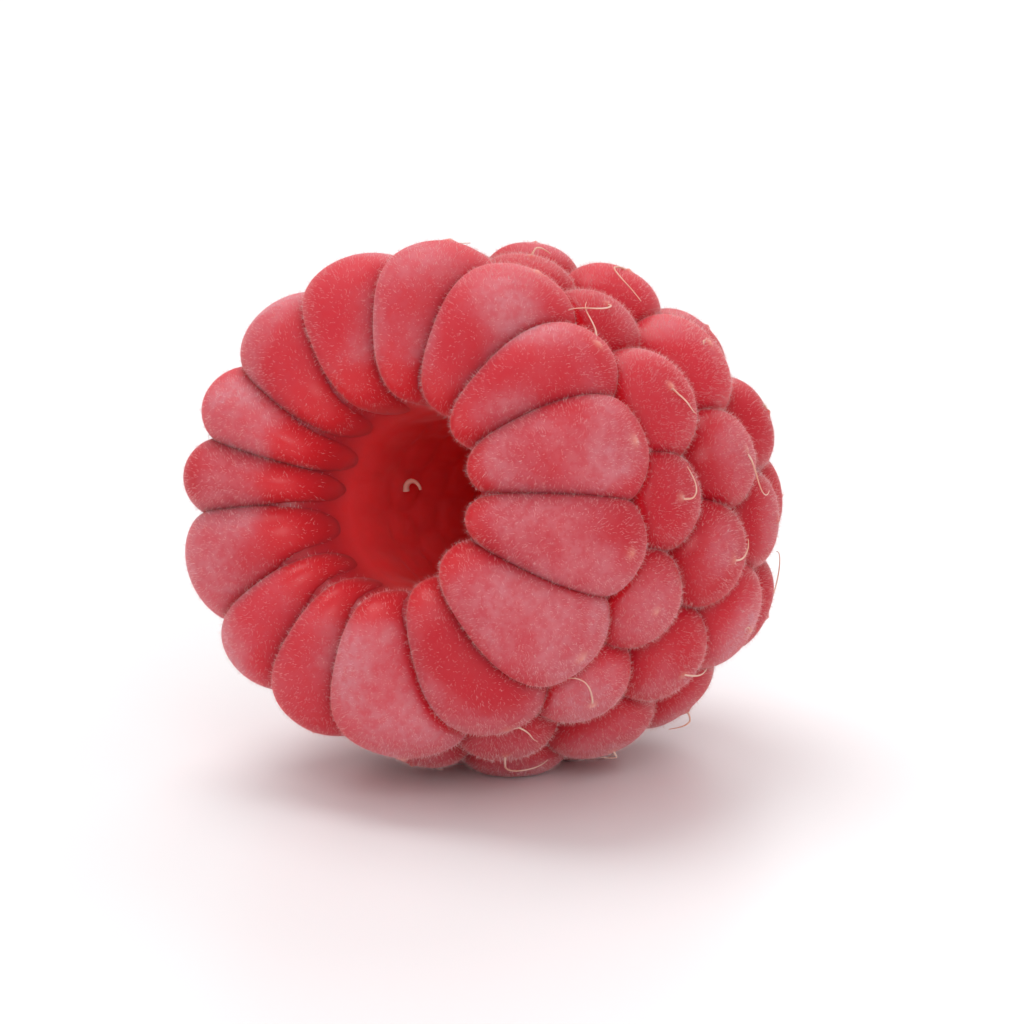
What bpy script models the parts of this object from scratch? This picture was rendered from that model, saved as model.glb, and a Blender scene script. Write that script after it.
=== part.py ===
"""A picked raspberry, lying on its side with its hollow towards -Y. Metres, +Z up.

The fruit is one body: a rim of long drupelets rolled over the mouth of the hollow, rows of
round drupelets down to the tip, and the flesh that they are all rooted in. It is laid out in
its own frame, with the middle of the fruit at the origin and +Z along its axis to the mouth,
and then turned on its side and set on the ground.
"""

import math
import random

import bmesh
import bpy
from mathutils import Matrix, Vector

MM = 0.001

# The outside, through the tops of the drupelets.
GIRTH_RADIUS = 11.2 * MM
TIP_LENGTH = 12.5 * MM
MOUTH_LENGTH = 10.0 * MM
TIP_FULLNESS = 2.0
MOUTH_FULLNESS = 2.7
FLATTENING = 0.97
NORMAL_STEP = 0.1 * MM

# The rim: long drupelets that roll over the mouth like the slices of a ring.
RIM_COUNT = 15
RIM_RING_RADIUS = 7.0 * MM
RIM_RING_HEIGHT = 6.4 * MM
RIM_REACH = 3.45 * MM
RIM_HEIGHT = 3.45 * MM
RIM_OVERLAP = 1.5
RIM_PLUMPNESS = 2.5
RIM_WEDGE = 0.7
RIM_WIDTH_SPREAD = 0.2

# The rows below the rim: (latitude in degrees, number of drupelets).
ROWS = ((7, 15), (-12, 15), (-32, 13), (-51, 10), (-69, 6), (-86, 2))
DRUPELET_PITCH = 4.4 * MM
DRUPELET_WIDTH = 5.1 * MM
DRUPELET_DEPTH = 5.6 * MM
DRUPELET_PLUMPNESS = 2.4
SIZE_SPREAD = 0.1
ANGLE_SPREAD = 0.06
LATITUDE_SPREAD = 2
STANDING_SPREAD = 0.25 * MM
SETTLING_STEPS = 120
SETTLING_RATE = 0.25
SETTLING_REACH = 1.3
RIM_ROOM = 1.15
SEED = 3

# The flesh below the drupelets, and the hollow that the receptacle leaves when the fruit is picked.
FLESH_DEPTH = 2.3 * MM
FLESH_TOP = 4.6 * MM
FLESH_LATITUDES = (25, -81)
FLESH_STEPS = 13
COLLAR_RADIUS = 5.2 * MM
COLLAR_HEIGHT = 7.7 * MM
HOLLOW_MOUTH_RADIUS = 3.85 * MM
HOLLOW_BOTTOM = -9.0 * MM
HOLLOW_BOTTOM_RADIUS = 0.3 * MM

# The hollow's wall, from its throat to near its bottom: (radius, height) in millimetres.
HOLLOW_PROFILE = (
    (3.85, 5.6), (4.05, 4.0), (4.2, 2.0), (4.1, 0.0),
    (3.6, -3.0), (2.8, -6.0), (1.9, -7.9), (1.0, -8.8),
)

# How it lies: rolled about its axis, with the mouth along -Y and up and the lowest drupelets pressed flat.
TURN = math.radians(33)
MOUTH_RISE = math.radians(15)
MIDDLE = Vector((-0.12, -0.40, 10.35)) * MM

# Facets: (segments, rings) of a drupelet, and the segments of what is turned.
RIM_FACETS = (14, 9)
DRUPELET_FACETS = (12, 7)
TURNED_SEGMENTS = 32

SKIN_COLOUR = (0.52, 0.03, 0.05, 1.0)


def clear_scene():
    for obj in list(bpy.data.objects):
        bpy.data.objects.remove(obj)


def direction_to(angle, latitude):
    across = math.cos(latitude)
    return Vector((across * math.cos(angle), across * math.sin(angle), math.sin(latitude)))


def envelope(latitude):
    """The distance from the middle of the fruit to its outside at this latitude."""
    tip_side = latitude < 0
    length = TIP_LENGTH if tip_side else MOUTH_LENGTH
    power = TIP_FULLNESS if tip_side else MOUTH_FULLNESS
    across = math.cos(latitude) / GIRTH_RADIUS
    along = abs(math.sin(latitude)) / length
    return (across**power + along**power) ** (-1 / power)


def on_envelope(point):
    """The point of the outside in the direction of this one."""
    latitude = math.atan2(point.z, math.hypot(point.x, point.y))
    return point.normalized() * envelope(latitude)


def outward(point):
    """The outside's normal at this point, from two short steps along it."""
    east = Vector((-point.y, point.x, 0)).normalized() * NORMAL_STEP
    north = point.cross(east).normalized() * NORMAL_STEP
    along_east = on_envelope(point + east) - on_envelope(point - east)
    along_north = on_envelope(point + north) - on_envelope(point - north)
    normal = along_east.cross(along_north).normalized()
    return normal if normal.dot(point) > 0 else -normal


def rim_angles(draw):
    """The angle and the angular width of each rim drupelet, which vary a little."""
    widths = [1 + draw.uniform(-RIM_WIDTH_SPREAD, RIM_WIDTH_SPREAD) for _ in range(RIM_COUNT)]
    turn = 2 * math.pi / sum(widths)
    angles = []
    reached = 0.0
    for width in widths:
        angles.append((reached + width * turn / 2, width * turn))
        reached += width * turn
    return angles


def rim_drupelets(draw):
    """Frames and half sizes of the rim drupelets: (matrix, (axial, tangential, radial))."""
    found = []
    for angle, width in rim_angles(draw):
        radius = RIM_RING_RADIUS + draw.uniform(-0.5, 0.5) * STANDING_SPREAD
        height = RIM_RING_HEIGHT + draw.uniform(-1, 1) * STANDING_SPREAD
        place = Matrix.Rotation(angle, 4, "Z") @ Matrix.Translation((radius, 0, height))
        place = place @ Matrix.Rotation(math.radians(90), 4, "Y")
        half_width = RIM_OVERLAP * width * RIM_RING_RADIUS * 0.5
        found.append((place, (RIM_HEIGHT, half_width, RIM_REACH)))
    return found


def settled_rows(draw, rim):
    """Tops of the round drupelets, which push each other and the rim apart until they are evenly packed."""
    tops = []
    for number, (latitude, count) in enumerate(ROWS):
        for place in range(count):
            angle = 2 * math.pi * (place + 0.5 * (number % 2)) / count
            angle += draw.uniform(-ANGLE_SPREAD, ANGLE_SPREAD)
            rise = math.radians(latitude + draw.uniform(-LATITUDE_SPREAD, LATITUDE_SPREAD))
            tops.append(on_envelope(direction_to(angle, rise)))
    sizes = [1 + draw.uniform(-SIZE_SPREAD, SIZE_SPREAD) for _ in tops]
    fixed = [on_envelope(place.translation + outward(place.translation) * MM) for place, _ in rim]
    for _ in range(SETTLING_STEPS):
        pushes = []
        for i, top in enumerate(tops):
            push = Vector()
            for j, other in enumerate(tops + fixed):
                if i == j:
                    continue
                apart = top - other
                room = DRUPELET_PITCH * (sizes[i] + (sizes[j] if j < len(tops) else RIM_ROOM)) / 2
                if apart.length < room * SETTLING_REACH:
                    push += apart.normalized() * (room * SETTLING_REACH - apart.length)
            pushes.append(push * SETTLING_RATE)
        tops = [on_envelope(top + push) for top, push in zip(tops, pushes)]
    return tops, sizes


def round_drupelets(draw, rim):
    """Frames and half sizes of the drupelets below the rim, with their local Z outwards."""
    found = []
    tops, sizes = settled_rows(draw, rim)
    for top, size in zip(tops, sizes):
        normal = outward(top)
        half_depth = DRUPELET_DEPTH / 2
        middle = top - normal * (half_depth + draw.uniform(-1, 1) * STANDING_SPREAD)
        turn = normal.to_track_quat("Z", "Y").to_matrix().to_4x4()
        half_width = DRUPELET_WIDTH / 2 * size
        found.append((Matrix.Translation(middle) @ turn, (half_width, half_width, half_depth)))
    return found


def link_new(name, mesh, collection):
    obj = bpy.data.objects.new(name, mesh)
    collection.objects.link(obj)
    return obj


def drupelet(place, half_sizes, collection, facets, plumpness, wedge=0.0):
    """One drupelet: a sphere of few sides with a pole outwards, made fuller and stretched to its size.

    A rim drupelet is a wedge, narrower towards the mouth by this much for each metre.
    """
    bm = bmesh.new()
    bmesh.ops.create_uvsphere(bm, u_segments=facets[0], v_segments=facets[1], radius=1)
    for vert in bm.verts:
        across = math.hypot(vert.co.x, vert.co.y)
        vert.co *= (across**plumpness + abs(vert.co.z) ** plumpness) ** (-1 / plumpness)
        vert.co = Vector(a * b for a, b in zip(vert.co, half_sizes))
        vert.co.y *= 1 + wedge * vert.co.z
    bmesh.ops.transform(bm, matrix=place, verts=bm.verts)
    mesh = bpy.data.meshes.new("drupelet")
    bm.to_mesh(mesh)
    bm.free()
    return link_new("drupelet", mesh, collection)


def turned(name, profile, collection):
    """A solid turned about +Z from a profile of (radius, height), listed from its top to its bottom."""
    mesh = bpy.data.meshes.new(name)
    points = [(0, 0, profile[0][1])] + [(radius, 0, height) for radius, height in profile]
    points.append((0, 0, profile[-1][1]))
    mesh.from_pydata(points, [(i, i + 1) for i in range(len(points) - 1)], [])
    obj = link_new(name, mesh, collection)
    screw = obj.modifiers.new("turn", "SCREW")
    screw.steps = screw.render_steps = TURNED_SEGMENTS
    screw.use_merge_vertices = True
    screw.merge_threshold = 1e-6
    return obj


def flesh(collection):
    """The flesh that the drupelets are rooted in, inside the envelope by a constant depth."""
    profile = [(COLLAR_RADIUS, COLLAR_HEIGHT)]
    first, last = FLESH_LATITUDES
    for step in range(FLESH_STEPS):
        latitude = math.radians(first + (last - first) * step / (FLESH_STEPS - 1))
        point = direction_to(0, latitude) * envelope(latitude)
        inside = point - outward(point) * FLESH_DEPTH
        profile.append((inside.x, min(inside.z, FLESH_TOP)))
    return turned("flesh", profile, collection)


def apply_modifiers(obj):
    """Replaces the object's mesh with the evaluated one."""
    graph = bpy.context.evaluated_depsgraph_get()
    mesh = bpy.data.meshes.new_from_object(obj.evaluated_get(graph))
    obj.modifiers.clear()
    obj.data = mesh


def join_all(obj, collection):
    """Joins all of the collection's objects to this one, and removes them."""
    union = obj.modifiers.new("join", "BOOLEAN")
    union.operation = "UNION"
    union.operand_type = "COLLECTION"
    union.collection = collection
    union.solver = "MANIFOLD"
    apply_modifiers(obj)
    for piece in list(collection.objects):
        bpy.data.objects.remove(piece)


def subtract(obj, cutter):
    """Cuts the cutter's shape out of the object and removes the cutter."""
    cut = obj.modifiers.new("cut", "BOOLEAN")
    cut.operation = "DIFFERENCE"
    cut.object = cutter
    cut.solver = "MANIFOLD"
    apply_modifiers(obj)
    bpy.data.objects.remove(cutter)


def hollow(collection):
    """The space that the receptacle filled, open through the mouth."""
    profile = [(radius * MM, height * MM) for radius, height in HOLLOW_PROFILE]
    mouth = [(HOLLOW_MOUTH_RADIUS, 2 * MOUTH_LENGTH)]
    bottom = [(HOLLOW_BOTTOM_RADIUS, HOLLOW_BOTTOM)]
    return turned("hollow", mouth + profile + bottom, collection)


def ground(collection):
    """A block below the ground, which takes off what the fruit's weight presses flat."""
    bm = bmesh.new()
    bmesh.ops.create_cube(bm, size=4 * GIRTH_RADIUS)
    bmesh.ops.translate(bm, verts=bm.verts, vec=(0, 0, -2 * GIRTH_RADIUS))
    mesh = bpy.data.meshes.new("ground")
    bm.to_mesh(mesh)
    bm.free()
    return link_new("ground", mesh, collection)


def lay_down(obj):
    """Turns the fruit on its side, a little flattened by its own weight."""
    flattened = Matrix.Diagonal((1, FLATTENING, 1, 1)) @ Matrix.Rotation(TURN, 4, "Z")
    turned_over = Matrix.Rotation(math.radians(90) - MOUTH_RISE, 4, "X")
    obj.data.transform(Matrix.Translation(MIDDLE) @ turned_over @ flattened)


def skin():
    """The ripe skin: soft red, with a dull bloom."""
    material = bpy.data.materials.new("skin")
    material.use_nodes = True
    shader = material.node_tree.nodes["Principled BSDF"]
    shader.inputs["Base Color"].default_value = SKIN_COLOUR
    shader.inputs["Roughness"].default_value = 0.55
    shader.inputs["Metallic"].default_value = 0.0
    return material


def build():
    clear_scene()
    parts = bpy.data.collections.new("raspberry")
    repeats = bpy.data.collections.new("drupelets")
    for collection in (parts, repeats):
        bpy.context.scene.collection.children.link(collection)
    draw = random.Random(SEED)
    rim = rim_drupelets(draw)
    for place, half_sizes in rim:
        drupelet(place, half_sizes, repeats, RIM_FACETS, RIM_PLUMPNESS, RIM_WEDGE / RIM_RING_RADIUS)
    for place, half_sizes in round_drupelets(draw, rim):
        drupelet(place, half_sizes, repeats, DRUPELET_FACETS, DRUPELET_PLUMPNESS)
    body = flesh(parts)
    body.name = "raspberry"
    apply_modifiers(body)
    join_all(body, repeats)
    subtract(body, hollow(repeats))
    lay_down(body)
    subtract(body, ground(repeats))
    body.data.materials.clear()
    body.data.materials.append(skin())
    body.data.shade_smooth()
    body.data.set_sharp_from_angle(angle=math.radians(50))


build()
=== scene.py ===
import math
import random

import bpy
import numpy as np
from mathutils import Matrix, Vector


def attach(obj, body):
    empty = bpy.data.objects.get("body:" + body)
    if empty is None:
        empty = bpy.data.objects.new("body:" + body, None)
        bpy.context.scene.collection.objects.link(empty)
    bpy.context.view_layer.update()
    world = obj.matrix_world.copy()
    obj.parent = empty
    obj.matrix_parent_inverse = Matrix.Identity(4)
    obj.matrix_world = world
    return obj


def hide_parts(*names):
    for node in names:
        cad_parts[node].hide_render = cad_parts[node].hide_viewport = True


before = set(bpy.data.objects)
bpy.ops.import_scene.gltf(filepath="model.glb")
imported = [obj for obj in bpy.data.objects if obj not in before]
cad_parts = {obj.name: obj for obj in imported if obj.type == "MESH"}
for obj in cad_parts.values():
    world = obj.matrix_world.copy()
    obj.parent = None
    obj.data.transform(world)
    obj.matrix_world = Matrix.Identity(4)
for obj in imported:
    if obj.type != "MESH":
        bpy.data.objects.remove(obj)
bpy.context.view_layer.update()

# ---- The rim drupelets -------------------------------------------------------------------------
# Long, juicy drupelets stand side by side round the mouth and roll over it like the slices of a
# ring, from the outside of the fruit down into its hollow. Each is a soft sac of juice round one
# seed, and it is flat where its neighbours press on it.

# The outside, through the tops of the drupelets. The fruit is laid out in millimetres, with its
# middle at the origin and +Z along its axis to the mouth.
GIRTH_RADIUS, TIP_LENGTH, MOUTH_LENGTH = 11.2, 12.5, 10.0
TIP_FULLNESS, MOUTH_FULLNESS = 2.0, 2.7
NORMAL_STEP = 0.1

# The rim: a ring of wedges, each narrower towards the axis, with this free way down the throat.
RIM_COUNT = 15
RIM_RING_RADIUS, RIM_RING_HEIGHT = 7.0, 6.4
RIM_REACH, RIM_HEIGHT = 3.45, 3.45
RIM_OVERLAP, RIM_WIDTH_SPREAD = 1.5, 0.2
RIM_WEDGE, RIM_FULLNESS = 0.7, 2.5
RIM_POINT = 0.2
THROAT_RADIUS = 3.65

# The rows below the rim: (latitude in degrees, number of drupelets).
ROWS = ((7, 15), (-12, 15), (-32, 13), (-51, 10), (-69, 6), (-86, 2))
DRUPELET_PITCH, DRUPELET_WIDTH, DRUPELET_DEPTH = 4.4, 5.1, 5.6
SIZE_SPREAD, ANGLE_SPREAD, LATITUDE_SPREAD, STANDING_SPREAD = 0.1, 0.06, 2, 0.25
SETTLING_STEPS, SETTLING_RATE, SETTLING_REACH = 120, 0.25, 1.3
RIM_ROOM = 1.15
LAYOUT_SEED, LOOK_SEED = 3, 5

# How drupelets press on each other. Neighbours cross a little, so the crease stays shallow, and
# against a round drupelet one of the rim counts as a ball of RIM_PUSH.
NEIGHBOUR_REACH = 8
CROSSING = 0.2
FIRMNESS = 12
RIM_PUSH = 3.5

# The nub at the foot of each style, the soft point that it stands on, and the pale spot painted round the
# foot,
# partly a painted glint: heights in millimetres, and widths in radians from the drupelet's pole.
NUB_HEIGHT, NUB_WIDTH, POINT_WIDTH, FOOT_WIDTH = 0.12, 0.06, 0.4, 0.065

# Where the slope into the hollow starts, how wide it is, and the height that it stays above.
SLOPE_RADIUS, SLOPE_WIDTH, SLOPE_FLOOR = 6.8, 2.4, 1

# How the fruit lies, in metres: on its side, rolled about its axis, with its mouth a little up,
# and pressed flat just clear of the table.
TURN, MOUTH_RISE, FLATTENING = math.radians(33), math.radians(15), 0.97
LAID_DOWN = (
    Matrix.Translation((-0.00012, -0.00040, 0.01035))
    @ Matrix.Rotation(math.radians(90) - MOUTH_RISE, 4, "X")
    @ Matrix.Diagonal((0.001, 0.001 * FLATTENING, 0.001, 1))
    @ Matrix.Rotation(TURN, 4, "Z")
)
GROUND = 0.00002


def envelope(points):
    """How far the fruit's outside is from its middle, in the direction of each point."""
    flat = np.hypot(points[:, 0], points[:, 1])
    length = np.hypot(flat, points[:, 2])
    tip_side = points[:, 2] < 0
    power = np.where(tip_side, TIP_FULLNESS, MOUTH_FULLNESS)
    along = np.abs(points[:, 2]) / length / np.where(tip_side, TIP_LENGTH, MOUTH_LENGTH)
    return ((flat / length / GIRTH_RADIUS) ** power + along**power) ** (-1 / power)


def on_envelope(points):
    return points * (envelope(points) / np.linalg.norm(points, axis=1))[:, None]


def outward(points):
    """The outside's normals, from two short steps along it each way."""
    east = np.stack([-points[:, 1], points[:, 0], np.zeros(len(points))], axis=1)
    east /= np.linalg.norm(east, axis=1)[:, None]
    north = np.cross(points, east)
    north /= np.linalg.norm(north, axis=1)[:, None]
    eastward = on_envelope(points + east * NORMAL_STEP) - on_envelope(points - east * NORMAL_STEP)
    northward = on_envelope(points + north * NORMAL_STEP) - on_envelope(points - north * NORMAL_STEP)
    normals = np.cross(eastward, northward)
    normals /= np.linalg.norm(normals, axis=1)[:, None]
    return normals * np.sign((normals * points).sum(axis=1))[:, None]


def smooth_step(values):
    """From 0 to 1 with soft ends, as the values go from 0 to 1."""
    values = np.clip(values, 0, 1)
    return values**2 * (3 - 2 * values)


def inner_slope(points):
    """How far down the slope into the hollow each point is: 0 outside, 1 at the throat and below."""
    near_axis = (SLOPE_RADIUS - np.hypot(points[:, 0], points[:, 1])) / SLOPE_WIDTH
    return smooth_step(near_axis) * (points[:, 2] > SLOPE_FLOOR)


def coordinates(mesh):
    found = np.empty(len(mesh.vertices) * 3)
    mesh.vertices.foreach_get("co", found)
    return found.reshape(-1, 3)


def paint(mesh, name, values):
    """Keeps one number for each vertex, for the skin's material to read."""
    layer = mesh.attributes.new(name, "FLOAT", "POINT")
    layer.data.foreach_set("value", np.asarray(values, dtype=np.float32))


def linked(name, data):
    obj = bpy.data.objects.new(name, data)
    bpy.context.scene.collection.objects.link(obj)
    return obj


def select_only(obj):
    bpy.ops.object.select_all(action="DESELECT")
    obj.select_set(True)
    bpy.context.view_layer.objects.active = obj


def joined(pieces, name):
    select_only(pieces[0])
    for piece in pieces:
        piece.select_set(True)
    bpy.ops.object.join()
    pieces[0].name = pieces[0].data.name = name
    return pieces[0]


def lay_down(obj):
    """Sets a piece laid out in millimetres on the ground, pressed flat where it would sink in."""
    obj.data.transform(LAID_DOWN)
    placed = coordinates(obj.data)
    placed[:, 2] = np.maximum(placed[:, 2], GROUND)
    obj.data.vertices.foreach_set("co", placed.ravel())
    obj.data.update()


def wall(middle, size, other, other_size):
    """The wall that forms between two drupelets, as seen from the first one's middle."""
    apart = other - middle
    distance = np.linalg.norm(apart)
    return apart / distance, (distance**2 + size**2 - other_size**2) / (2 * distance) + CROSSING


def drupelet(ball, place, half_sizes, fullness, walls, tone, wedge=0.0, point=0.0):
    """A copy of the ball grown to its sizes, and pressed flat by walls of (normal, distance).

    The style's foot is a nub at its pole, which a rim drupelet also draws out to a soft point.
    """
    mesh = ball.data.copy()
    unit = coordinates(mesh)
    across = np.hypot(unit[:, 0], unit[:, 1])
    fuller = (across**fullness + np.abs(unit[:, 2]) ** fullness) ** (-1 / fullness)
    full = unit * fuller[:, None] * half_sizes
    full[:, 1] *= 1 + wedge * full[:, 2]
    arms = full @ np.array(place.to_3x3()).T
    reach = np.linalg.norm(arms, axis=1)
    arms /= reach[:, None]
    free = reach**-FIRMNESS
    pressed = 0
    for normal, distance in walls:
        pressed = pressed + (np.clip(arms @ normal, 1e-3, None) / distance) ** FIRMNESS
    from_pole = np.arctan2(across, unit[:, 2])
    nub = NUB_HEIGHT * np.exp(-((from_pole / NUB_WIDTH) ** 2))
    soft_point = point * np.exp(-((from_pole / POINT_WIDTH) ** 2))
    swelled = (free + pressed) ** (-1 / FIRMNESS) + (nub + soft_point)
    grown = np.array(place.translation) + arms * swelled[:, None]
    mesh.vertices.foreach_set("co", grown.ravel())
    paint(mesh, "contact", pressed / (free + pressed))
    paint(mesh, "depth", envelope(grown) - np.linalg.norm(grown, axis=1))
    # The foot mask, where the skin is painted paler round the style, partly as a painted glint.
    paint(mesh, "foot", np.exp(-((from_pole / FOOT_WIDTH) ** 2)) * (0.5 + 0.5 * tone))
    paint(mesh, "inner", inner_slope(grown))
    paint(mesh, "tone", np.full(len(grown), tone))
    return linked("drupelet", mesh)


# The rim's places come first: (frame, half sizes, angle, angular width).
draw = random.Random(LAYOUT_SEED)
widths = [1 + draw.uniform(-RIM_WIDTH_SPREAD, RIM_WIDTH_SPREAD) for _ in range(RIM_COUNT)]
turns = [width * 2 * math.pi / sum(widths) for width in widths]
rim = []
for number, turn in enumerate(turns):
    angle = sum(turns[:number]) + turn / 2
    radius = RIM_RING_RADIUS + draw.uniform(-0.5, 0.5) * STANDING_SPREAD
    height = RIM_RING_HEIGHT + draw.uniform(-1, 1) * STANDING_SPREAD
    place = Matrix.Rotation(angle, 4, "Z") @ Matrix.Translation((radius, 0, height))
    place = place @ Matrix.Rotation(math.radians(90), 4, "Y")
    half_width = RIM_OVERLAP * turn * RIM_RING_RADIUS * 0.5
    rim.append((place, (RIM_HEIGHT, half_width, RIM_REACH), angle, turn))
rim_middles = np.array([place.translation for place, *_ in rim])

# The round drupelets' places, which the rim's outer walls need too. Their tops push each other
# and the rim apart until they are evenly packed.
tops = []
for number, (latitude, count) in enumerate(ROWS):
    for step in range(count):
        angle = 2 * math.pi * (step + 0.5 * (number % 2)) / count + draw.uniform(-ANGLE_SPREAD, ANGLE_SPREAD)
        rise = math.radians(latitude + draw.uniform(-LATITUDE_SPREAD, LATITUDE_SPREAD))
        tops.append((math.cos(rise) * math.cos(angle), math.cos(rise) * math.sin(angle), math.sin(rise)))
sizes = np.array([1 + draw.uniform(-SIZE_SPREAD, SIZE_SPREAD) for _ in tops])
tops = on_envelope(np.array(tops))
rim_tops = on_envelope(rim_middles + outward(rim_middles))
shares = np.append(sizes, [RIM_ROOM] * RIM_COUNT)
room = DRUPELET_PITCH * (sizes[:, None] + shares[None, :]) / 2 * SETTLING_REACH
for _ in range(SETTLING_STEPS):
    apart = tops[:, None, :] - np.vstack([tops, rim_tops])[None, :, :]
    distance = np.linalg.norm(apart, axis=2)
    np.fill_diagonal(distance, np.inf)
    push = np.where(distance < room, room - distance, 0) / distance
    tops = on_envelope(tops + (apart * push[:, :, None]).sum(axis=1) * SETTLING_RATE)
normals = outward(tops)
standing = np.array([draw.uniform(-1, 1) * STANDING_SPREAD for _ in tops])
middles = tops - normals * (DRUPELET_DEPTH / 2 + standing)[:, None]
radii = DRUPELET_WIDTH / 2 * sizes

bpy.ops.object.select_all(action="DESELECT")
bpy.ops.mesh.primitive_ico_sphere_add(subdivisions=5, radius=1)
ball = bpy.context.object
ball.name = "ball"
bpy.ops.object.shade_smooth()

look = random.Random(LOOK_SEED)
wedge = RIM_WEDGE / RIM_RING_RADIUS
pieces = []
for place, half_sizes, angle, turn in rim:
    middle = np.array(place.translation)
    inward = np.array((-math.cos(angle), -math.sin(angle), 0))
    walls = [(inward, math.hypot(*middle[:2]) - THROAT_RADIUS)]
    for side in (-1, 1):
        border = angle + side * turn / 2
        normal = side * np.array((-math.sin(border), math.cos(border), 0))
        walls.append((normal, -normal @ middle + CROSSING))
    for other, size in zip(middles, radii):
        if np.linalg.norm(other - middle) < NEIGHBOUR_REACH:
            walls.append(wall(middle, RIM_PUSH, other, size))
    pieces.append(drupelet(ball, place, half_sizes, RIM_FULLNESS, walls, look.random(), wedge, RIM_POINT))
rim_drupelets = joined(pieces, "rim_drupelets")

# The ripe skin: thin and translucent over red juice. It is clear red where the drupelets press on each
# other, there painted brighter than the body as a painted glow of light through the juice, and down in the
# hollow it is painted brighter still as a painted glow. The open tops are dusty pink with bloom, which is
# rubbed off here and there. Round the foot of each style the skin is paler, painted paler still as a painted
# glint.
DARK_RIPE, BRIGHT_RIPE = (0.46, 0.006, 0.018), (0.56, 0.014, 0.030)
# Clear red of the pressed skin, painted brighter than the body as a painted glow of light through the juice.
PRESSED_SIDES_WITH_PAINTED_GLOW = (0.66, 0.010, 0.022)
THROAT = (0.58, 0.024, 0.034)
# Painted glow: the hollow is painted brighter red the deeper it goes, standing in for light through the
# flesh.
LINING_WITH_PAINTED_GLOW = (0.86, 0.056, 0.062)
BLOOM = (0.57, 0.175, 0.205)
# Pale style foot, painted paler as a painted glint.
STYLE_FOOT_AND_PAINTED_GLINT = (0.80, 0.46, 0.36)


def node(tree, kind, inputs=(), **settings):
    made = tree.nodes.new("ShaderNode" + kind)
    for name, value in settings.items():
        setattr(made, name, value)
    for socket, value in dict(inputs).items():
        if isinstance(value, bpy.types.NodeSocket):
            tree.links.new(value, made.inputs[socket])
        else:
            made.inputs[socket].default_value = value
    return made


def blend(tree, factor, first, second):
    """Mixes two colours, either given as (r, g, b) or coming from another node."""
    made = tree.nodes.new("ShaderNodeMix")
    made.data_type = "RGBA"
    for socket, value in ((0, factor), (6, first), (7, second)):
        if isinstance(value, bpy.types.NodeSocket):
            tree.links.new(value, made.inputs[socket])
        else:
            made.inputs[socket].default_value = (*value, 1)
    return made.outputs[2]


def graded(tree, value, low, high, start=0.0, end=1.0):
    """Runs from start to end as the value goes from low to high."""
    limits = {0: value, 1: low, 2: high, 3: start, 4: end}
    return node(tree, "MapRange", limits, interpolation_type="SMOOTHSTEP").outputs[0]


def times(tree, first, second):
    return node(tree, "Math", {0: first, 1: second}, operation="MULTIPLY").outputs[0]


def attribute(tree, name):
    return node(tree, "Attribute", attribute_name=name).outputs["Fac"]


def mottle(tree, scale, detail, roughness=0.5):
    """Noise over the piece; the scale is in cells to the metre."""
    position = node(tree, "TexCoord").outputs["Object"]
    settings = {"Vector": position, "Scale": scale, "Detail": detail, "Roughness": roughness}
    return node(tree, "TexNoise", settings).outputs["Fac"]


def new_material(name, **settings):
    """A material whose shader has these values on its sockets."""
    material = bpy.data.materials.new(name)
    material.use_nodes = True
    shader = material.node_tree.nodes["Principled BSDF"]
    for socket, value in settings.items():
        shader.inputs[socket.replace("_", " ")].default_value = value
    return material


skin = new_material(
    "skin",
    Roughness=0.5,
    Subsurface_Weight=0.85,
    Subsurface_Radius=(1.0, 0.12, 0.09),
    Subsurface_Scale=0.0022,
    Sheen_Weight=0.2,
    Sheen_Roughness=0.3,
    Sheen_Tint=(1.0, 0.66, 0.64, 1),
    Specular_IOR_Level=0.4,
    IOR=1.4,
)
tree = skin.node_tree
shader = tree.nodes["Principled BSDF"]
speckle = mottle(tree, 2600, 4, 0.65)
blotch = mottle(tree, 480, 3)
rubbed = mottle(tree, 190, 1)
open_top = graded(tree, attribute(tree, "depth"), 0.8, 0.0)
open_top = times(tree, open_top, graded(tree, attribute(tree, "contact"), 0.35, 0.0))
open_top = times(tree, open_top, graded(tree, attribute(tree, "inner"), 0.95, 0.2))
dusty = times(tree, open_top, graded(tree, speckle, 0.34, 0.62, 0.6, 1.0))
dusty = times(tree, dusty, graded(tree, blotch, 0.36, 0.62, 0.6, 1.0))
dusty = times(tree, dusty, graded(tree, rubbed, 0.40, 0.60, 0.12, 1.0))
dusty = times(tree, dusty, graded(tree, attribute(tree, "tone"), 0.0, 0.6, 0.6, 1.0))
colour = blend(tree, attribute(tree, "tone"), DARK_RIPE, BRIGHT_RIPE)
# Painted glow: clear red, brighter than the body, where the drupelets press on each other.
colour = blend(tree, graded(tree, attribute(tree, "contact"), 0.1, 0.5), colour, PRESSED_SIDES_WITH_PAINTED_GLOW)
colour = blend(tree, attribute(tree, "inner"), colour, THROAT)
# Painted glow: brighter red the deeper into the hollow.
colour = blend(tree, graded(tree, attribute(tree, "depth"), 2.4, 4.6), colour, LINING_WITH_PAINTED_GLOW)
colour = blend(tree, dusty, colour, BLOOM)
# Pale style feet, partly a painted glint.
colour = blend(tree, times(tree, attribute(tree, "foot"), 0.8), colour, STYLE_FOOT_AND_PAINTED_GLINT)
tree.links.new(colour, shader.inputs["Base Color"])
tree.links.new(graded(tree, open_top, 0.0, 1.0, 0.34, 0.6), shader.inputs["Roughness"])
relief = node(tree, "Bump", {"Strength": 0.25, "Distance": 0.00004, "Height": speckle})
tree.links.new(relief.outputs[0], shader.inputs["Normal"])

lay_down(rim_drupelets)
rim_drupelets.data.materials.append(skin)
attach(rim_drupelets, "root")
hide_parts("raspberry")

# ---- The round drupelets -----------------------------------------------------------------------
# Below the rim the drupelets are rounder, and packed in staggered rows that close round the tip.
# They grow apart from one another, and each takes the shape that its neighbours leave it.

DRUPELET_FULLNESS = 2.4
INNER_END = 0.9

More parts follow.
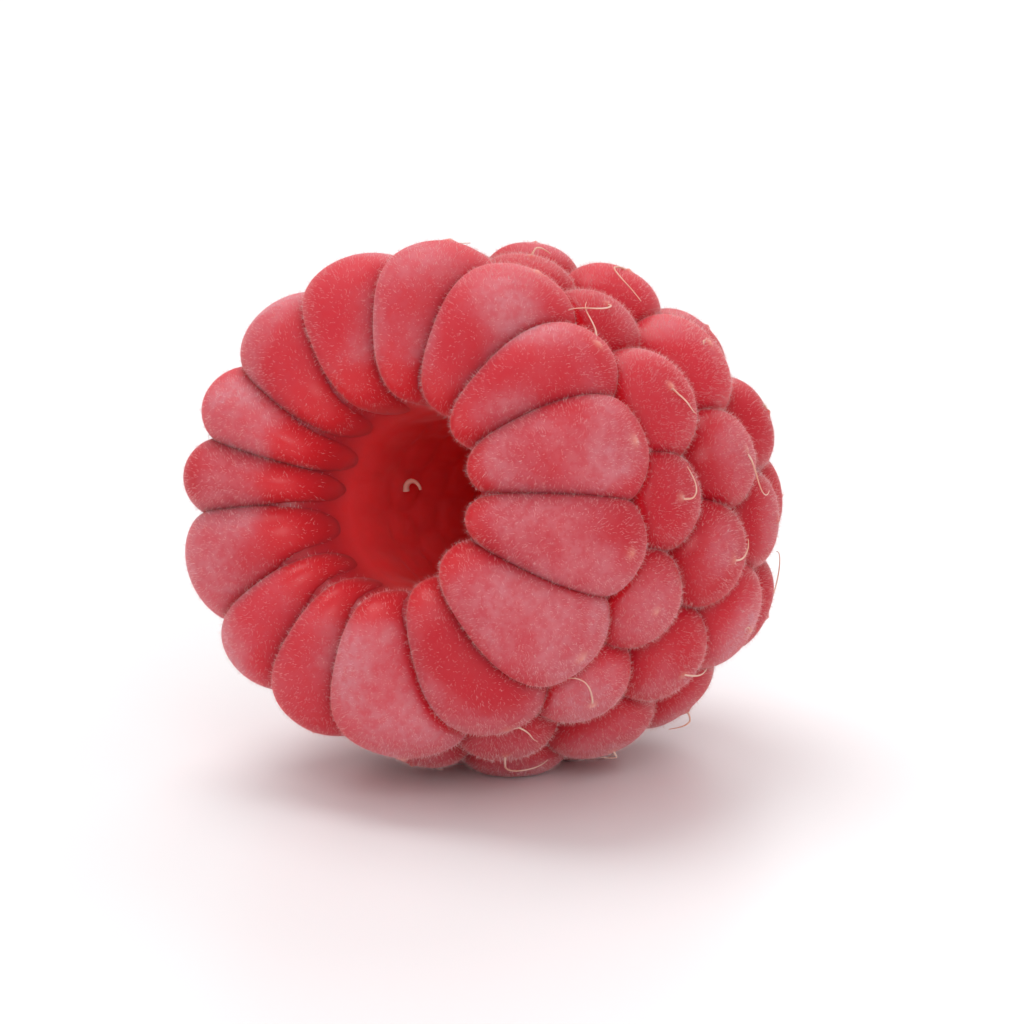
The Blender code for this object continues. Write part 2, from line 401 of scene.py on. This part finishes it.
pieces = []
neighbours = np.vstack([middles, rim_middles])
pushes = np.append(radii, [RIM_PUSH] * RIM_COUNT)
for middle, normal, radius in zip(middles, normals, radii):
    walls = [(-normal, INNER_END)]
    for other, size in zip(neighbours, pushes):
        if 0 < np.linalg.norm(other - middle) < NEIGHBOUR_REACH:
            walls.append(wall(middle, radius, other, size))
    place = Matrix.Translation(middle) @ Vector(normal).to_track_quat("Z", "Y").to_matrix().to_4x4()
    half_sizes = (radius, radius, DRUPELET_DEPTH / 2)
    pieces.append(drupelet(ball, place, half_sizes, DRUPELET_FULLNESS, walls, look.random()))
bpy.data.objects.remove(ball)
half = len(pieces) // 2
round_drupelets = [joined(pieces[:half], "girth_drupelets"), joined(pieces[half:], "tip_drupelets")]
for piece in round_drupelets:
    lay_down(piece)
    piece.data.materials.append(skin)
    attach(piece, "root")
    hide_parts("raspberry")

# ---- The flesh and the hollow ------------------------------------------------------------------
# The drupelets are rooted in a wall of firmer flesh. Its inside is the hollow that the receptacle
# leaves when the fruit is picked, where the inner end of each drupelet shows as a low swelling.

# The wall is turned from two outlines of (radius, height): its outside, which stays under the
# drupelets, and the collar, the throat and the hollow down to its bottom.
FLESH_DEPTH, FLESH_TOP = 2.3, 4.6
FLESH_LATITUDES, FLESH_STEPS = (25, -90), 13
OUTER_SHOULDER = (6.4, 7.4)
HOLLOW_WALL = (
    (6.4, 8.3), (6.1, 8.7), (5.5, 8.85), (4.95, 8.7), (4.5, 8.35), (4.17, 7.8),
    (3.96, 7.1), (3.84, 6.3), (3.78, 5.4), (3.8, 4.4), (3.95, 3.0), (4.05, 1.5),
    (4.0, 0.0), (3.6, -3.0), (2.8, -6.0), (1.9, -7.9), (1.0, -8.8), (0.0, -9.0),
)
OUTLINE_STEP, SPIN_STEPS = 0.22, 176

# The lining is what lies within this radius and at least this deep. It alone is swollen.
LINING_RADIUS, LINING_DEPTH, THROAT_HEIGHT = 5.5, 0.5, 5
SWELLING_HEIGHT, SWELLING_WIDTH = 0.1, 2.6

outer_wall = [OUTER_SHOULDER]
first, last = FLESH_LATITUDES
for step in range(FLESH_STEPS):
    latitude = math.radians(first + (last - first) * step / (FLESH_STEPS - 1))
    point = on_envelope(np.array([(math.cos(latitude), 0, math.sin(latitude))]))
    radius, _, height = (point - outward(point) * FLESH_DEPTH)[0]
    outer_wall.append((max(radius, 0.0), min(height, FLESH_TOP)))
outline = outer_wall[::-1] + list(HOLLOW_WALL)
finer = []
for (radius, height), (next_radius, next_height) in zip(outline, outline[1:]):
    cuts = max(1, round(math.hypot(next_radius - radius, next_height - height) / OUTLINE_STEP))
    for cut in range(cuts):
        share = cut / cuts
        finer.append((radius + (next_radius - radius) * share, 0, height + (next_height - height) * share))
finer.append((outline[-1][0], 0, outline[-1][1]))
mesh = bpy.data.meshes.new("flesh")
mesh.from_pydata(finer, [(i, i + 1) for i in range(len(finer) - 1)], [])
flesh = linked("flesh", mesh)
select_only(flesh)
bpy.ops.object.mode_set(mode="EDIT")
bpy.ops.mesh.select_all(action="SELECT")
bpy.ops.mesh.spin(steps=SPIN_STEPS, angle=2 * math.pi, center=(0, 0, 0), axis=(0, 0, 1))
bpy.ops.mesh.select_all(action="SELECT")
bpy.ops.mesh.remove_doubles(threshold=0.001)
bpy.ops.mesh.normals_make_consistent(inside=False)
bpy.ops.object.mode_set(mode="OBJECT")
bpy.ops.object.shade_smooth()

surface = coordinates(mesh)
from_middle = np.linalg.norm(surface, axis=1)
depth = envelope(surface) - from_middle
heads = np.vstack([tops, rim_tops])
gaps = np.linalg.norm(on_envelope(surface)[:, None, :] - heads[None, :, :], axis=2)
gaps = np.sort(gaps, axis=1)
swollen = smooth_step((gaps[:, 1] - gaps[:, 0]) / SWELLING_WIDTH)
radial = np.hypot(surface[:, 0], surface[:, 1])
in_hollow = (depth > LINING_DEPTH) & (radial < LINING_RADIUS)
lift = np.where(in_hollow, swollen * SWELLING_HEIGHT * np.clip(radial, 0, 1), 0)
surface -= surface / from_middle[:, None] * lift[:, None]
mesh.vertices.foreach_set("co", surface.ravel())
paint(mesh, "depth", depth)
paint(mesh, "contact", np.full(len(surface), 0.5))
paint(mesh, "inner", np.where(surface[:, 2] > THROAT_HEIGHT, inner_slope(surface), 1))
paint(mesh, "tone", swollen)

lay_down(flesh)
flesh.data.materials.append(skin)
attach(flesh, "root")
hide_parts("raspberry")

# ---- The dried styles --------------------------------------------------------------------------
# Each drupelet bore the dried style of its flower, a pale thread rooted in its top. Many have
# come off or are broken short, and the rest curl over the fruit. A few thicker fibres of the
# receptacle, torn when the fruit was picked, hang in the hollow.

STYLE_SHARE = 0.6
STYLE_RADIUS = 0.036
STYLE_POINTS = 20
STYLE_LENGTHS = (0.5, 0.8, 1.4, 2.2, 3.2, 4.4)
STYLE_CURL, STYLE_HEIGHT = (0.2, 2.8), (0.05, 0.3)
STYLE_WAVER = 0.45
STYLE_FOOT_HEIGHT = 0.3
TAPER = (1.25, 0.45)

# The torn fibres: (angle in degrees, height, radius of the curl).
TORN_FIBRES = ((143, 1.6, 0.38), (250, 2.4, 0.25), (20, -2.8, 0.25))
FIBRE_ROOT_RADIUS, FIBRE_THICKNESS = 3.9, 3.6
FIBRE_CURL, FIBRE_POINTS = (-0.3, 2.9), 13

threads = bpy.data.curves.new("styles", "CURVE")
threads.dimensions = "3D"
threads.bevel_depth = STYLE_RADIUS
threads.bevel_resolution = 1
threads.use_fill_caps = True


def thread(points, thickness):
    """One tube through the points, tapering to its end."""
    spline = threads.splines.new("POLY")
    spline.points.add(len(points) - 1)
    for number, point in enumerate(points):
        share = number / (len(points) - 1)
        spline.points[number].co = (*point, 1)
        spline.points[number].radius = thickness * (TAPER[0] + (TAPER[1] - TAPER[0]) * share)


def style(foot, normal, length, heading, curl, height):
    """A thread that leaves the drupelet's top and then curls, unevenly, along the outside.

    Over its first quarter it passes from its foot to the outside, and it stands highest midway.
    """
    bend = look.uniform(0, 2 * math.pi)
    side = np.cross(normal, (0.3, 0.5, 0.8))
    side /= np.linalg.norm(side)
    ahead = np.cross(normal, side)
    points, at = [], foot.copy()
    for along in np.linspace(0, 1, STYLE_POINTS):
        risen = min(along * 4, 1)
        lift = height * math.sin(math.pi * along**0.7) + 0.04 - 0.16 * (1 - along) ** 8
        points.append(at * (1 - risen) + on_envelope(at[None, :])[0] * risen + normal * lift)
        turn = heading + curl * along + STYLE_WAVER * math.sin(5 * along + bend)
        at = at + (side * math.cos(turn) + ahead * math.sin(turn)) * length / STYLE_POINTS
    thread(points, 1)


feet = [*(middles + normals * DRUPELET_DEPTH / 2)]
leaving = [*normals]
for place, half_sizes, angle, _ in rim:
    feet.append(np.array(place @ Vector((0, 0, half_sizes[2] + STYLE_FOOT_HEIGHT))))
    leaving.append(np.array((math.cos(angle), math.sin(angle), 0.0)))
for foot, normal in zip(feet, leaving):
    if look.random() < STYLE_SHARE:
        length = look.choice(STYLE_LENGTHS) * look.uniform(0.8, 1.2)
        curl = look.choice((-1, 1)) * look.uniform(*STYLE_CURL)
        heading = look.uniform(0, 2 * math.pi)
        style(foot, normal, length, heading, curl, look.uniform(*STYLE_HEIGHT))

for angle, height, curl_radius in TORN_FIBRES:
    away = np.array((math.cos(math.radians(angle)), math.sin(math.radians(angle)), 0))
    along_wall = np.array((away[1], -away[0], 0.3))
    root = away * FIBRE_ROOT_RADIUS + np.array((0, 0, height))
    points = []
    for turned in np.linspace(*FIBRE_CURL, FIBRE_POINTS):
        points.append(root + curl_radius * (along_wall * math.sin(turned) - away * (1 - math.cos(turned))))
    thread(points, FIBRE_THICKNESS)

styles = linked("styles", threads)
select_only(styles)
bpy.ops.object.convert(target="MESH")
bpy.ops.object.shade_smooth()

dry_thread = new_material(
    "dry_thread",
    Roughness=0.55,
    Subsurface_Weight=0.3,
    Subsurface_Radius=(1.0, 0.5, 0.3),
    Subsurface_Scale=0.0002,
)
tree = dry_thread.node_tree
faded = graded(tree, mottle(tree, 700, 2), 0.35, 0.65)
straw = blend(tree, faded, (0.70, 0.36, 0.27), (0.80, 0.55, 0.45))
tree.links.new(straw, tree.nodes["Principled BSDF"].inputs["Base Color"])

lay_down(styles)
styles.data.materials.append(dry_thread)
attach(styles, "root")
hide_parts("raspberry")

# ---- The down ----------------------------------------------------------------------------------
# The skin is covered in short, fine, pale hairs, thickest on the open tops. Seen along the skin
# they make the soft pale edge round every drupelet. Each is a thin cone rooted in the skin.

# These sizes are in metres, because the hairs grow on the skin as it lies.
DOWN_SEED, DOWN_COUNT = 7, 130000
DOWN_SHARES = (0.24, 0.4, 0.36)
DOWN_LENGTH, DOWN_RADIUS, DOWN_ROOT = (0.00008, 0.00024), 0.0000045, 0.00001
DOWN_LEAN = 0.38
CLEAR_OF_GROUND = 0.00012

bpy.ops.object.select_all(action="DESELECT")
bpy.ops.mesh.primitive_cone_add(
    vertices=3, radius1=1, radius2=0, depth=1, end_fill_type="NOTHING", location=(0, 0, 0.5)
)
hair = bpy.context.object
bpy.ops.object.transform_apply(location=True)
hair_shape = coordinates(hair.data)
hair_faces = np.array([face.vertices[:] for face in hair.data.polygons])
bpy.data.objects.remove(hair)

pale_down = new_material("down", Roughness=0.6, Base_Color=(0.86, 0.62, 0.60, 1))


def at_corners(mesh, name, corners):
    """The mean of a painted number over the corners of each face."""
    values = np.empty(len(mesh.vertices), dtype=np.float32)
    mesh.attributes[name].data.foreach_get("value", values)
    return values[corners].mean(axis=1)


chance = np.random.default_rng(DOWN_SEED)
for skin_piece, share in zip([rim_drupelets] + round_drupelets, DOWN_SHARES):
    mesh = skin_piece.data
    corners = np.empty(len(mesh.polygons) * 3, dtype=np.int32)
    mesh.polygons.foreach_get("vertices", corners)
    corners = corners.reshape(-1, 3)
    triangles = coordinates(mesh)[corners]
    spans = np.cross(triangles[:, 1] - triangles[:, 0], triangles[:, 2] - triangles[:, 0])
    areas = np.linalg.norm(spans, axis=1)
    shallow = np.clip((3.2 - at_corners(mesh, "depth", corners)) / 2.2, 0, 1)
    untouched = np.clip((0.85 - at_corners(mesh, "contact", corners)) / 0.4, 0, 1)
    lifted = triangles[:, :, 2].mean(axis=1) > CLEAR_OF_GROUND
    odds = areas * (shallow * untouched * lifted)
    count = round(DOWN_COUNT * share)
    chosen = chance.choice(len(odds), count, p=odds / odds.sum())
    weights = chance.dirichlet((1, 1, 1), count)
    roots = (triangles[chosen] * weights[:, :, None]).sum(axis=1)
    up = spans[chosen] / areas[chosen][:, None]
    lean = chance.normal(size=(count, 3)) * DOWN_LEAN
    aim = up + lean - up * (lean * up).sum(axis=1)[:, None]
    aim /= np.linalg.norm(aim, axis=1)[:, None]
    side = np.cross(aim, (0.31, 0.52, 0.79))
    side /= np.linalg.norm(side, axis=1)[:, None]
    across = np.cross(aim, side)
    lengths = chance.uniform(*DOWN_LENGTH, count)
    roots -= up * DOWN_ROOT
    verts = (
        roots[:, None, :]
        + side[:, None, :] * hair_shape[None, :, 0:1] * DOWN_RADIUS
        + across[:, None, :] * hair_shape[None, :, 1:2] * DOWN_RADIUS
        + aim[:, None, :] * hair_shape[None, :, 2:3] * lengths[:, None, None]
    )
    verts[:, :, 2] = np.maximum(verts[:, :, 2], GROUND)
    faces = hair_faces[None, :, :] + (np.arange(count) * len(hair_shape))[:, None, None]
    down_mesh = bpy.data.meshes.new("down_on_" + skin_piece.name)
    down_mesh.from_pydata(verts.reshape(-1, 3), [], faces.reshape(-1, 3))
    down_mesh.materials.append(pale_down)
    down = linked(down_mesh.name, down_mesh)
    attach(down, "root")
    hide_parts("raspberry")

# ---- The floor, the light and the camera -------------------------------------------------------
# A plain white table, one broad soft light above and behind, a window in front and a low light at
# the back, white walls all round, and a long lens low over the table that looks at the mouth from
# its right.

WALL_LIGHT = 0.72
CAMERA_AZIMUTH, CAMERA_ELEVATION = 35, 13
CAMERA_DISTANCE, CAMERA_LENS = 0.245, 210
LAMP_AIM, CAMERA_AIM = 0.01, 0.0102

bpy.ops.object.select_all(action="DESELECT")
bpy.ops.mesh.primitive_plane_add(size=3)
floor = bpy.context.object
floor.name = "floor"
white_table = new_material(
    "white_table", Base_Color=(0.88, 0.86, 0.87, 1), Roughness=0.38, Specular_IOR_Level=0.5
)
floor.data.materials.append(white_table)


def set_up(name, data, azimuth, elevation, distance, aim_height):
    """Places a lamp or a camera round the fruit, looking at a point of its upright axis."""
    obj = linked(name, data)
    azimuth, elevation = math.radians(azimuth), math.radians(elevation)
    level = math.cos(elevation)
    back = Vector((math.sin(azimuth) * level, -math.cos(azimuth) * level, math.sin(elevation)))
    obj.location = Vector((0, 0, aim_height)) + back * distance
    obj.rotation_euler = back.to_track_quat("Z", "Y").to_euler()
    return obj


def lamp(name, azimuth, elevation, distance, size, power):
    light = bpy.data.lights.new(name, "AREA")
    light.shape, light.size, light.energy = "DISK", size, power
    set_up(name, light, azimuth, elevation, distance, LAMP_AIM)


lamp("overhead", 250, 68, 0.35, 0.26, 0.56)
lamp("front_window", 42, 30, 0.40, 0.22, 0.44)
lamp("back_light", 200, 35, 0.40, 0.20, 0.25)
world = bpy.data.worlds.new("studio")
world.use_nodes = True
world.node_tree.nodes["Background"].inputs["Color"].default_value = (1, 1, 1, 1)
world.node_tree.nodes["Background"].inputs["Strength"].default_value = WALL_LIGHT
bpy.context.scene.world = world
bpy.context.scene.view_settings.view_transform = "Standard"

lens = bpy.data.cameras.new("camera")
lens.lens, lens.clip_start = CAMERA_LENS, 0.005
camera = set_up("camera", lens, CAMERA_AZIMUTH, CAMERA_ELEVATION, CAMERA_DISTANCE, CAMERA_AIM)
bpy.context.scene.camera = camera

bpy.context.view_layer.update()
